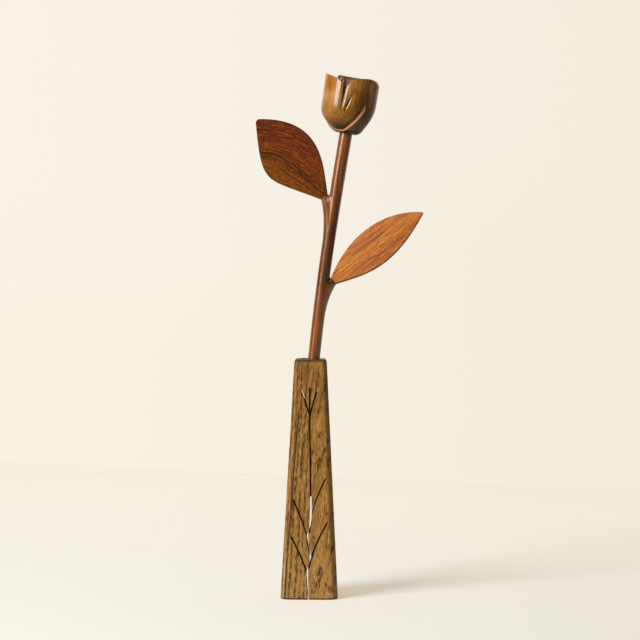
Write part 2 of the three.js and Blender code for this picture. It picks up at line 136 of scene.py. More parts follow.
PETAL_CREASE = {
    "low": (-0.21, 0.355), "high": (-0.01, 0.7), "fades_at_top": True,
    "facet": {"width": 1, "depth": 0, "fade": 1}, "roll": {"widths": (0.9, 0.9), "depth": 0.7},
    "slot": {"width": 0.45, "depth": 1.4}, "edge": {"width": 4.2, "depth": 1.3},
}
GROOVE_END_SCALE = 0.5

# Soft valley along the upright part of the outer petal's edge
VALLEY = {"deg": (28, 43, 60), "heights": (16, 22), "cup_dip": 0.7, "wrap_dip": 2.2}

# Tuck of the front petals under the rest of that edge
TUCK = {"depth": 1.2, "width": 2.0, "heights": (17, 22)}

# Marks on the bud for its finish, most of them for painted light and shade
BUD_MARKS = ("slot_shade", "cut_edge", "facet", "roll", "wrapped", "back_end", "inside")
SLOT_SHADE_SPREAD = 0.7
ROLL_SPAN = 2.2
FACE_BLEND = 0.4
# The cut edge carries a painted highlight, which fades towards the left
CUT_EDGE = {"reach": (0.5, 1.3), "pale_deg": (-30, 6), "darkest": 0.35}
WRAPPED_RISE = (0.3, 0.9)
BACK_END = {"half_deg": 7, "least_facing": 0.6}
INSIDE_FACING = (0, 0.4)
MARK_BATCHES = 64

# Fineness of the meshes, and how carved pieces are sanded
CORNER_STEPS = 10
ROUND_SIDES = 64
CURVE_STEPS = 60
STEM_STEPS = 240
STEM_SAMPLES = 1001
TRUNK_STEPS = 15
BUD_SIDES = 720
BUD_LEVELS = {"below_waist": 40, "above_waist": 50, "wall": 24, "hollow": 41}
RIM_SAMPLES = 9
SHARP_DEG = 35
SANDING_STRENGTH = 0.5
BUD_SANDING = {"voxel": 0.22, "rounds": 9}
LEAF_SANDING = {"voxel": 0.26, "rounds": 7}
STEM_SANDING = {"voxel": 0.34, "rounds": 8}


# Numbers and curves
UP = np.array([0, 0, 1])
curve_shares = np.linspace(0, 1, CURVE_STEPS)
quarter_turns = np.linspace(0, math.pi / 2, CORNER_STEPS + 1)


def lerp(start, end, share):
    return start + (end - start) * share


def smoothstep(low, high, value):
    share = np.clip((value - low) / (high - low), 0, 1)
    return share * share * (3 - 2 * share)


def bezier(controls, shares):
    """Points of a Bezier curve of any degree at some shares of its run."""
    level = [np.asarray(control, float) for control in controls]
    shares = np.asarray(shares, float)[..., None]
    while len(level) > 1:
        level = [lerp(a, b, shares) for a, b in zip(level, level[1:])]
    return level[0]


def bezier_tangent(controls, shares):
    steps = np.diff(np.asarray(controls, float), axis=0)
    along = bezier(steps, shares)
    return along / np.linalg.norm(along, axis=-1, keepdims=True)


def lean_vector(deg):
    turn = math.radians(deg)
    return np.array([math.sin(turn), 0, math.cos(turn)])


# Meshes
def add_object(name, data):
    made = bpy.data.objects.new(name, data)
    bpy.context.collection.objects.link(made)
    return made


def loft(name, rings):
    """A closed surface through rings of points, with each end fanned to its middle."""
    rings = np.asarray(rings, float)
    points = np.concatenate([rings.reshape(-1, 3), rings[[0, -1]].mean(axis=1)])
    here = np.arange(rings[..., 0].size).reshape(rings.shape[:2])
    after = np.roll(here, -1, axis=1)
    faces = np.stack([here[:-1], after[:-1], after[1:], here[1:]], axis=-1).reshape(-1, 4).tolist()
    for end, middle in ((0, here.size), (-1, here.size + 1)):
        faces += [(a, b, middle) for a, b in zip(here[end].tolist(), after[end].tolist())]
    mesh = bpy.data.meshes.new(name)
    mesh.from_pydata((points * MM).tolist(), [], faces)
    shell = bmesh.new()
    shell.from_mesh(mesh)
    bmesh.ops.recalc_face_normals(shell, faces=shell.faces)
    shell.to_mesh(mesh)
    shell.free()
    return add_object(name, mesh)


def settle(piece):
    """Turns a piece's modifiers into its mesh."""
    seen = piece.evaluated_get(bpy.context.evaluated_depsgraph_get())
    mesh = bpy.data.meshes.new_from_object(seen)
    mesh.name = piece.name
    piece.modifiers.clear()
    piece.data = mesh


def carve(piece, tool, operation="DIFFERENCE"):
    """Cuts a tool out of a piece, or joins the two, and drops the tool."""
    cut = piece.modifiers.new("carve", "BOOLEAN")
    cut.operation = operation
    cut.solver = "MANIFOLD"
    cut.object = tool
    settle(piece)
    bpy.data.objects.remove(tool)


def hand_finish(piece, voxel, rounds):
    """Rounds a carved piece's edges a little, as sanding does."""
    remesh = piece.modifiers.new("remesh", "REMESH")
    remesh.mode = "VOXEL"
    remesh.voxel_size = voxel * MM
    smooth = piece.modifiers.new("smooth", "SMOOTH")
    smooth.factor = SANDING_STRENGTH
    smooth.iterations = rounds
    settle(piece)
    piece.data.shade_smooth()


def rod(name, start, direction, length, diameter):
    ends = [start, start + length * direction]
    return loft(name, [round_ring(end, direction, diameter / 2) for end in ends])


def round_ring(centre, direction, radius):
    """A ring that is square to a direction in the front plane."""
    turns = np.linspace(0, 2 * math.pi, ROUND_SIDES, endpoint=False)[:, None]
    back = np.array([0, 1, 0])
    across = np.cross(direction, back)
    return centre + radius * (np.cos(turns) * back + np.sin(turns) * across)


def sweep(name, controls, radii, end=1):
    """A round bar along a Bezier curve, up to a share of its run."""
    shares = np.linspace(0, end, len(radii))
    places = bezier(controls, shares)
    ways = bezier_tangent(controls, shares)
    return loft(name, [round_ring(*ring) for ring in zip(places, ways, radii)])


# Stem line, shared by the stem, the twigs and the vase's hole
neck_direction = lean_vector(STEM_NECK_LEAN_DEG)
foot_point = np.array([STEM_FOOT_OFFSET, 0, VASE_HEIGHT - BORE_DEPTH + SEAT_GAP])
neck_point = np.array([STEM_FOOT_OFFSET + STEM_REACH, 0, VASE_HEIGHT + STEM_RISE])
stem_handle = (neck_point[2] - foot_point[2]) / 3
foot_handle = foot_point + stem_handle * UP
stem_line = (foot_point, foot_handle, neck_point - stem_handle * neck_direction, neck_point)
stem_shares = np.linspace(0, 1, STEM_SAMPLES)
stem_heights = bezier(stem_line, stem_shares)[:, 2]


def stem_radius(share):
    return lerp(STEM_FOOT_DIAMETER, STEM_NECK_DIAMETER, share) / 2


def stem_share_at(height):
    return np.interp(height, stem_heights, stem_shares)


def twig_shape(twig, leaf):
    """The curve of a twig that turns from the stem to its leaf, and of the webs that fill its fork."""
    shares = stem_share_at(VASE_HEIGHT + twig["fork_rise"] + np.array([0, twig["climb"]]))
    root, stem_end = bezier(stem_line, shares)
    root_way, stem_way = bezier_tangent(stem_line, shares)
    direction = lean_vector(90 - leaf["rise_deg"])
    end = stem_end + [np.sign(direction[0]) * (stem_radius(shares[1]) + twig["standoff"]), 0, 0]
    root_handle = root + root_way * twig["climb"] / 2
    curve = np.array([root, root_handle, end - TWIG_END_HANDLE * direction, end + SEAT_GAP * direction])
    beside = np.array([root, root_handle, stem_end - TWIG_END_HANDLE * stem_way, stem_end])
    webs = [lerp(beside, curve, share) for share in WEB_SHARES]
    return {"curve": curve, "webs": webs, "end": end, "direction": direction}


lower_twig = twig_shape(LOWER_TWIG, LOWER_LEAF)
upper_twig = twig_shape(UPPER_TWIG, UPPER_LEAF)


def pin_hole(twig):
    length = PIN_LENGTH + 2 * SEAT_GAP
    start = twig["end"] + (SEAT_GAP - length) / 2 * twig["direction"]
    return rod("pin_hole", start, twig["direction"], length, PIN_HOLE_DIAMETER)


# Vase
def vase_half_width(z):
    return lerp(VASE_BASE_WIDTH, VASE_TOP_WIDTH, z / VASE_HEIGHT) / 2


def vase_corner_radius(z):
    return lerp(*VASE_CORNER_RADII, z / VASE_HEIGHT)


def vase_ring(z, inset, corner_radius):
    """A square ring whose corners lie between a round and a flat chamfer."""
    rounded = np.column_stack([np.cos(quarter_turns), np.sin(quarter_turns)])
    chamfered = np.linspace((1, 0), (0, 1), CORNER_STEPS + 1)
    corner = corner_radius * lerp(rounded, chamfered, VASE_CORNER_FLATNESS)
    x, y = (corner + vase_half_width(z) - inset - corner_radius).T
    ring = np.concatenate([(x, y), (-y, x), (-x, -y), (y, -x)], axis=1)
    return np.column_stack([*ring, np.full(ring.shape[1], z)])


def vase_rings():
    rings = []
    for turn in quarter_turns:
        z = VASE_FOOT_RADIUS * (1 - math.cos(turn))
        rings.append(vase_ring(z, VASE_FOOT_RADIUS * (1 - math.sin(turn)), vase_corner_radius(z)))
    for turn in quarter_turns:
        z = VASE_HEIGHT - VASE_RIM["drop"] * (1 - math.sin(turn))
        tightened = vase_corner_radius(z) * (1 - turn / math.pi)
        rings.append(vase_ring(z, VASE_RIM["inset"] * (1 - math.cos(turn)), tightened))
    return rings


def saw_cut(places, ways):
    """A cut from front to back along points seen from the front, with round ends."""
    half = KERF_WIDTH / 2
    turns = np.radians(KERF_END_DEG)
    marks = [(places[0], ways[0], -turn) for turn in turns]
    marks += [(place, way, 0) for place, way in zip(places, ways)]
    marks += [(places[-1], ways[-1], turn) for turn in turns[::-1]]
    depths = np.repeat([-VASE_BASE_WIDTH, VASE_BASE_WIDTH], 2)
    rings = []
    for place, way, turn in marks:
        middle = place + half * math.sin(turn) * way
        side = half * math.cos(turn) * np.array([-way[1], way[0]])
        corners = (middle + side, middle - side, middle - side, middle + side)
        rings.append([(x, depth, z) for (x, z), depth in zip(corners, depths)])
    return loft("saw_cut", rings)


def trunk_cut(stops):
    """A cut along a Catmull-Rom curve through some stops."""
    padded = np.array([stops[0], *stops, stops[-1]])
    places, ways = [], []
    shares = np.linspace(0, 1, TRUNK_STEPS, endpoint=False)
    for before, start, end, after in zip(padded, padded[1:], padded[2:], padded[3:]):
        controls = (start, start + (end - before) / 6, end - (after - start) / 6, end)
        places.append(bezier(controls, shares))
        ways.append(bezier_tangent(controls, shares))
    places.append(padded[-1:])
    ways.append(ways[-1][-1:])
    return saw_cut(np.concatenate(places), np.concatenate(ways))


def branch_cut(root, side, branch):
    tip_z = root[1] + branch["rise"]
    tip = np.array([side * (vase_half_width(tip_z) - branch["edge_margins"][side]), tip_z])
    bend = (lerp(root[0], tip[0], SPRIG_BEND["across"]), root[1] + SPRIG_BEND["up"] * branch["rise"])
    curve = (root, bend, tip)
    return saw_cut(bezier(curve, curve_shares), bezier_tangent(curve, curve_shares))


def sawn_lines():
    trunk_top = VASE_HEIGHT - LINE_TOP_MARGIN
    fork = np.array([TRUNK_OFFSET, trunk_top - FORK_DEPTH])
    roots = [np.array([TRUNK_OFFSET + side * TRUNK_SWAY / 2, height]) for side, height in SPRIG_ROOTS]
    yield trunk_cut([(TRUNK_OFFSET, -KERF_WIDTH), *roots, fork, (TRUNK_OFFSET, trunk_top)])
    for root, (side, _) in zip(roots, SPRIG_ROOTS):
        yield branch_cut(root, side, SPRIG)
    for side in (-1, 1):
        yield branch_cut(fork, side, FORK)


def bore():
    """Place across and radius of the stem's hole, clear of the stem in it."""
    shares = np.linspace(0, stem_share_at(VASE_HEIGHT), CURVE_STEPS)
    x = bezier(stem_line, shares)[:, 0]
    low = (x - stem_radius(shares)).min() - BORE_CLEARANCE
    high = (x + stem_radius(shares)).max() + BORE_CLEARANCE
    return (low + high) / 2, (high - low) / 2


def vase_block():
    piece = loft("vase_block", vase_rings())
    bore_x, bore_radius = bore()
    floor = np.array([bore_x, 0, VASE_HEIGHT - BORE_DEPTH])
    carve(piece, rod("stem_hole", floor, UP, 2 * BORE_DEPTH, 2 * bore_radius))
    for cut in sawn_lines():
        carve(piece, cut)
    piece.data.shade_smooth()
    piece.data.set_sharp_from_angle(angle=math.radians(SHARP_DEG))
    even = piece.modifiers.new("even", "WEIGHTED_NORMAL")
    even.keep_sharp = True
    settle(piece)
    # Faces on the walls of the saw cuts and of the hole take the second, near-black material, which is
    # painted shade
    for face in piece.data.polygons:
        x, y, z = face.center / MM
        upright = abs(face.normal.z) < KERF_WALL_LIMIT
        inside = vase_half_width(z) - abs(x) > VASE_CORNER_RADII[0]
        sawn = upright and inside and abs(face.normal.y) < KERF_WALL_LIMIT
        bored = upright and math.hypot(x - bore_x, y) < bore_radius
        face.material_index = int(sawn or bored)
    return piece


# Stem
def rose_stem():
    piece = sweep("rose_stem", stem_line, stem_radius(np.linspace(0, 1, STEM_STEPS)))
    neck_foot = neck_point - NECK_OVERLAP * neck_direction
    neck_length = NECK_OVERLAP + SEAT_GAP + NECK_SEAT_DEPTH
    carve(piece, rod("neck", neck_foot, neck_direction, neck_length, STEM_NECK_DIAMETER), "UNION")
    tenon_length = NECK_OVERLAP + TENON_LENGTH
    carve(piece, rod("tenon", neck_foot, neck_direction, tenon_length, TENON_DIAMETER), "UNION")
    twig_radii = lerp(TWIG_ROOT_DIAMETER, TWIG_END_DIAMETER, curve_shares) / 2
    for twig in (lower_twig, upper_twig):
        carve(piece, sweep("twig", twig["curve"], twig_radii), "UNION")
        for web in twig["webs"]:
            carve(piece, sweep("web", web, twig_radii, WEB_CLIMB), "UNION")
    hand_finish(piece, **STEM_SANDING)
    for twig in (lower_twig, upper_twig):
        carve(piece, pin_hole(twig))
    piece.data.shade_smooth()
    return piece


# Leaves
def leaf_frame(leaf, twig):
    """Axes of a leaf on its twig's end: along it, across it and out of its face."""
    along = Vector(twig["direction"])
    front = Vector((0, -1, 0))
    across = front.cross(along)
    axes = Matrix((along, across, front)).transposed().to_4x4()
    seat = twig["end"] + SEAT_GAP * twig["direction"]
    tilt = Matrix.Rotation(math.radians(leaf["tilt_deg"]), 4, "X")
    return Matrix.Translation(Vector(seat * MM)) @ axes @ tilt


def leaf_board(name, leaf, twig):
    length = leaf["length"]

    def edge(bulge, side):
        places = [(share * length, side * reach) for share, reach in bulge]
        tip = (length, leaf["tip_shift"] + side * leaf["tip_width"] / 2)
        return bezier(((0, side * leaf["base_width"] / 2), *places, tip), curve_shares)

    outline = np.concatenate([edge(leaf["right_bulge"], -1), edge(leaf["left_bulge"], 1)[::-1]])
    faces = (-LEAF_THICKNESS / 2, LEAF_THICKNESS / 2)
    piece = loft(name, [np.column_stack([outline, np.full(len(outline), z)]) for z in faces])
    hand_finish(piece, **LEAF_SANDING)
    piece.data.transform(leaf_frame(leaf, twig))
    carve(piece, pin_hole(twig))
    piece.data.shade_smooth()
    return piece


# Rosebud
def rightward(deg):
    return np.sin(np.radians(deg))


def drawn_in(into, radius):
    """How far a rounded edge has drawn in, at a distance into its rounding."""
    depth = np.clip(into, 0, radius)
    return radius - np.sqrt(radius**2 - depth**2)


def petal_radius(deg, z, base, full):
    """Radius of a petal that swells from its rounded foot to its full size."""
    height = BUD_SWELL_HEIGHT + BUD_SWELL_TILT * rightward(deg)
    swell = np.sin(np.minimum(z / height, 1) * math.pi / 2)
    return lerp(base, full, swell) - drawn_in(BUD_FOOT_RADIUS - z, BUD_FOOT_RADIUS)


def cup_radius(deg, z):
    flare = CUP_TIP_FLARE * np.maximum(0, -rightward(deg)) * z / BUD_HEIGHT
    return petal_radius(deg, z, BUD_BASE_RADIUS, CUP_RADIUS - CUP_LEAN * rightward(deg) + flare)


def wrap_radius(deg, z):
    full = CUP_RADIUS + WRAP_STEP - WRAP_LEAN * rightward(deg)
    lip = drawn_in(z - BUD_HEIGHT + WRAP_LIP_RADIUS, WRAP_LIP_RADIUS)
    return petal_radius(deg, z, BUD_BASE_RADIUS + WRAP_STEP, full) - lip


def groove_run(deg, z, groove):
    """Where a place lies on a groove: the share of its height, its strength and the way off it."""
    (low_x, low_z), (high_x, high_z) = groove["low"], groove["high"]
    share = np.clip((z / BUD_HEIGHT - low_z) / (high_z - low_z), 0, 1)
    strength = np.sin(share * math.pi / (1 if groove["fades_at_top"] else 2)) * (np.abs(deg) < 90)
    return share, strength, CUP_RADIUS * (rightward(deg) - lerp(low_x, high_x, share))


def groove_depth(deg, z, groove):
    """Depth of a groove: a facet and a roll lead to its slot from the left, a round edge from the right."""
    facet, roll, slot, edge = (groove[part] for part in ("facet", "roll", "slot", "edge"))
    share, strength, off = groove_run(deg, z, groove)
    scale = lerp(GROOVE_END_SCALE, 1, strength)
    to_left, to_right = off + slot["width"] / 2 * scale, off - slot["width"] / 2 * scale
    roll_width = lerp(*roll["widths"], share)
    rolled = np.clip(1 + to_left / roll_width, 0, 1) ** 2
    flat = np.clip(1 + (to_left + roll_width) / facet["width"], 0, 1) * smoothstep(0, facet["fade"], share)
    left = lerp(facet["depth"] * flat * (strength > 0), strength * roll["depth"], rolled)
    right = strength * edge["depth"] * drawn_in(1 - to_right / (edge["width"] * scale), 1)
    return np.where(to_left < 0, left, np.where(to_right > 0, right, strength * slot["depth"]))


def groove_slot_shade(deg, z, groove):
    """How near a place is to a groove's slot, where the slot's shade is painted dark."""
    _, strength, off = groove_run(deg, z, groove)
    return np.sqrt(strength) * np.exp(-(off / (SLOT_SHADE_SPREAD * groove["slot"]["width"])) ** 2)


def groove_faces(deg, z, groove):
    """How far a place lies on a groove's facet and on its roll."""
    share, strength, off = groove_run(deg, z, groove)
    from_facet = off + ROLL_SPAN + groove["facet"]["width"]
    left = off < 0
    on_roll = np.sqrt(strength) * smoothstep(-FACE_BLEND, FACE_BLEND, off + ROLL_SPAN) * left
    fade = smoothstep(0, groove["facet"]["fade"], share) ** 2
    on_facet = smoothstep(-FACE_BLEND, FACE_BLEND, from_facet) * fade
    return on_facet * (1 - on_roll) * left, on_roll


def valley_share(deg, z):
    start, fold, end = VALLEY["deg"]
    near = np.where(deg < fold, smoothstep(start, fold, deg), 1 - smoothstep(fold, end, deg))
    return near * smoothstep(*VALLEY["heights"], z)


def wrap_edge():
    """Free edge of the outer petal, as angles and heights."""
    parts = [bezier(part, curve_shares)[:-1] for part in WRAP_EDGE]
    deg, share = np.concatenate([*parts, WRAP_EDGE[-1][-1:]]).T
    return deg, share * BUD_HEIGHT


def edge_distance(deg, z, lift=0):
    """Distance to the outer petal's free edge, or to a line at some height above it."""
    deg, z = np.broadcast_arrays(deg, z)
    edge_deg, edge_z = wrap_edge()
    across = np.radians(deg[:, None] - edge_deg) * cup_radius(deg, z)[:, None]
    return np.hypot(across, z[:, None] - edge_z - lift).min(axis=1)


def tuck_depth(deg, z):
    fade = 1 - smoothstep(*TUCK["heights"], z)
    return TUCK["depth"] * np.exp(-(edge_distance(deg, z) / TUCK["width"]) ** 2) * fade


def carved_cup_radius(deg, z):
    cut = groove_depth(deg, z, PETAL_GROOVE) + groove_depth(deg, z, PETAL_CREASE) + tuck_depth(deg, z)
    return cup_radius(deg, z) - cut - VALLEY["cup_dip"] * valley_share(deg, z)


def carved_wrap_radius(deg, z):
    return wrap_radius(deg, z) - VALLEY["wrap_dip"] * valley_share(deg, z)


bud_degs = np.linspace(-180, 180, BUD_SIDES, endpoint=False)


def rim_height(deg):
    """Height of the petals' rim, with its corners rounded a little."""
    stops, shares = np.array(RIM_SHAPE).T
    spread = np.linspace(-RIM_ROUNDING_DEG, RIM_ROUNDING_DEG, RIM_SAMPLES)
    around = (deg[:, None] + spread + 180) % 360 - 180
    return BUD_HEIGHT * np.interp(around, stops, shares).mean(axis=1)


def bud_points(deg, radius, z):
    deg, radius, z = np.broadcast_arrays(deg, radius, z)
    return np.stack([radius * rightward(deg), -radius * np.cos(np.radians(deg)), z], axis=-1)


def bud_ring(radius_at, z):
    return bud_points(bud_degs, radius_at(bud_degs, z), z)


waist = BUD_SWELL_HEIGHT + BUD_SWELL_TILT
foot_levels = BUD_FOOT_RADIUS * (1 - np.cos(quarter_turns))
levels = [*foot_levels, *np.linspace(BUD_FOOT_RADIUS, waist, BUD_LEVELS["below_waist"])[1:]]


def front_petals():
    rims = rim_height(bud_degs)
    rings = [bud_ring(carved_cup_radius, z) for z in levels]
    shares = np.linspace(0, 1, BUD_LEVELS["above_waist"])[1:]
    rings += [bud_ring(carved_cup_radius, lerp(waist, rims, share)) for share in shares]
    return loft("carved_bud", rings)


def wrap_cut():
    """All that lies above the outer petal's free edge, whose face slopes down and outwards."""
    deg, edge_z = wrap_edge()
    edge_radius = wrap_radius(deg, edge_z)
    meeting = cup_radius(deg, edge_z)
    meeting_z = edge_z + WRAP_EDGE_SLOPE * (edge_radius - meeting)
    inside = meeting - WRAP_WALL - WRAP_STEP
    outside = np.full_like(deg, 2 * CUP_RADIUS)
    above = np.full_like(deg, 2 * BUD_HEIGHT)
    corners = (
        (inside, meeting_z),
        (inside, above),
        (outside, above),
        (outside, edge_z + WRAP_EDGE_SLOPE * (edge_radius - outside)),
        (meeting, meeting_z),
    )
    return loft("wrap_cut", np.stack([bud_points(deg, radius, z) for radius, z in corners], axis=1))


def outer_petal():
    lip_start = BUD_HEIGHT - WRAP_LIP_RADIUS
    lip_levels = lip_start + WRAP_LIP_RADIUS * np.sin(quarter_turns)
    wall_levels = np.linspace(waist, lip_start, BUD_LEVELS["wall"])[1:-1]
    piece = loft("wrap", [bud_ring(carved_wrap_radius, z) for z in (*levels, *wall_levels, *lip_levels)])
    carve(piece, wrap_cut())
    return piece


def hollow():
    rims = rim_height(bud_degs)
    left_deg, right_deg = WRAP_FOLD_DEG
    wrapped = np.maximum(
        smoothstep(right_deg - WRAP_WALL_BLEND_DEG, right_deg, bud_degs),
        smoothstep(-left_deg - WRAP_WALL_BLEND_DEG, -left_deg, -bud_degs),
    )
    mouth = cup_radius(bud_degs, rims) - lerp(RIM_LAND, WRAP_WALL, wrapped)
    rises, shares = np.array(HOLLOW_SHAPE).T
    rings = [
        bud_points(bud_degs, np.interp(rise, rises, shares) * mouth, lerp(HOLLOW_FLOOR_HEIGHT, rims, rise))
        for rise in np.linspace(0, 1, BUD_LEVELS["hollow"])
    ]
    rings.append(bud_points(bud_degs, mouth, 2 * BUD_HEIGHT))
    return loft("hollow", rings)


bud_frame = (
    Matrix.Translation(Vector((neck_point + SEAT_GAP * neck_direction) * MM))
    @ Matrix.Rotation(math.radians(STEM_NECK_LEAN_DEG), 4, "Y")
)


# Gives the bud's points marks for its finish: painted shade in the slots, on the rolls, on the back end and
# on the outer petal, and painted highlights on the cut edge, the facet and inside the hollow
def mark_bud(piece):
    points, normals = (np.empty(3 * len(piece.data.vertices)) for _ in range(2))
    piece.data.vertices.foreach_get("co", points)
    piece.data.vertices.foreach_get("normal", normals)
    x, y, z = points.reshape(-1, 3).T / MM
    deg = np.degrees(np.arctan2(x, -y))
    radial = (normals.reshape(-1, 3)[:, :2].T * (x, y)).sum(axis=0) / np.hypot(x, y)
    outward = np.hypot(x, y) - cup_radius(deg, np.maximum(z, 0))
    outside = outward > -PETAL_GROOVE["slot"]["depth"]
    above_floor = z > HOLLOW_FLOOR_HEIGHT
    slot_shade = np.maximum(groove_slot_shade(deg, z, PETAL_GROOVE), groove_slot_shade(deg, z, PETAL_CREASE))
    half_face = WRAP_EDGE_SLOPE * WRAP_STEP / 2
    batches = zip(*(np.array_split(part, MARK_BATCHES) for part in (deg, np.maximum(z, 0))))
    distance = np.concatenate([edge_distance(*batch, half_face) for batch in batches])
    start, end = CUT_EDGE["reach"]
    pale = lerp(CUT_EDGE["darkest"], 1, smoothstep(*CUT_EDGE["pale_deg"], deg))
    cut_edge = (1 - smoothstep(start * half_face, end * half_face, distance)) * pale
    facet, roll = groove_faces(deg, z, PETAL_GROOVE)
    wrapped = smoothstep(*WRAPPED_RISE, outward)
    at_back_end = np.abs(deg - WRAP_EDGE[0][0][0]) < BACK_END["half_deg"]
    back_end = at_back_end * (radial < BACK_END["least_facing"]) * above_floor
    inside = smoothstep(*INSIDE_FACING, -radial) * above_floor
    marks = (*(face * outside for face in (slot_shade, cut_edge, facet, roll)), wrapped, back_end, inside)
    for name, values in zip(BUD_MARKS, marks):
        layer = piece.data.attributes.new(name, "FLOAT", "POINT")
        layer.data.foreach_set("value", np.asarray(values, np.float32))


def carved_bud():
    piece = front_petals()
    carve(piece, outer_petal(), "UNION")
    carve(piece, hollow())
    socket_foot = np.array([0, 0, -SEAT_GAP])
    carve(piece, rod("socket", socket_foot, UP, TENON_LENGTH + SEAT_GAP, TENON_DIAMETER + 2 * SEAT_GAP))
    carve(piece, rod("neck_seat", socket_foot, UP, NECK_SEAT_DEPTH + SEAT_GAP, STEM_NECK_DIAMETER))
    hand_finish(piece, **BUD_SANDING)
    mark_bud(piece)
    piece.data.transform(bud_frame)
    return piece


# Materials
FIBRE_SPAN = (0.3, 0.7)
FIGURE_SHARE = 0.6
FIBRE_RELIEF = 0.04
NOISE_MIDDLE = 0.5
BUMP_STRENGTH = 0.3
SPOT_CORE = 0.3
STREAK_CORE = 0.25
STREAK_FADE = 0.25
HIDDEN_REACH = 4


def tone(red, green, blue):
    """A linear colour from the display values 0 to 255."""
    return (*(((value / 255 + 0.055) / 1.055) ** 2.4 for value in (red, green, blue)), 1)


class Value:
    """A value that a material's nodes work out, with the arithmetic of plain numbers."""

    def __init__(self, shader, socket):
        self.shader = shader
        self.socket = socket

    def __add__(self, other):
        return self.shader.math("ADD", self, other)

    def __sub__(self, other):
        return self.shader.math("SUBTRACT", self, other)

    def __mul__(self, other):
        return self.shader.math("MULTIPLY", self, other)

    def __abs__(self):
        return self.shader.math("ABSOLUTE", self)

    def rise(self, low, high, start=0, end=1):
        """A smooth step from start to end as the value goes from low to high."""
        inputs = {"Value": self, "From Min": low, "From Max": high, "To Min": start, "To Max": end}
        return self.shader.node("MapRange", inputs, interpolation_type="SMOOTHSTEP")


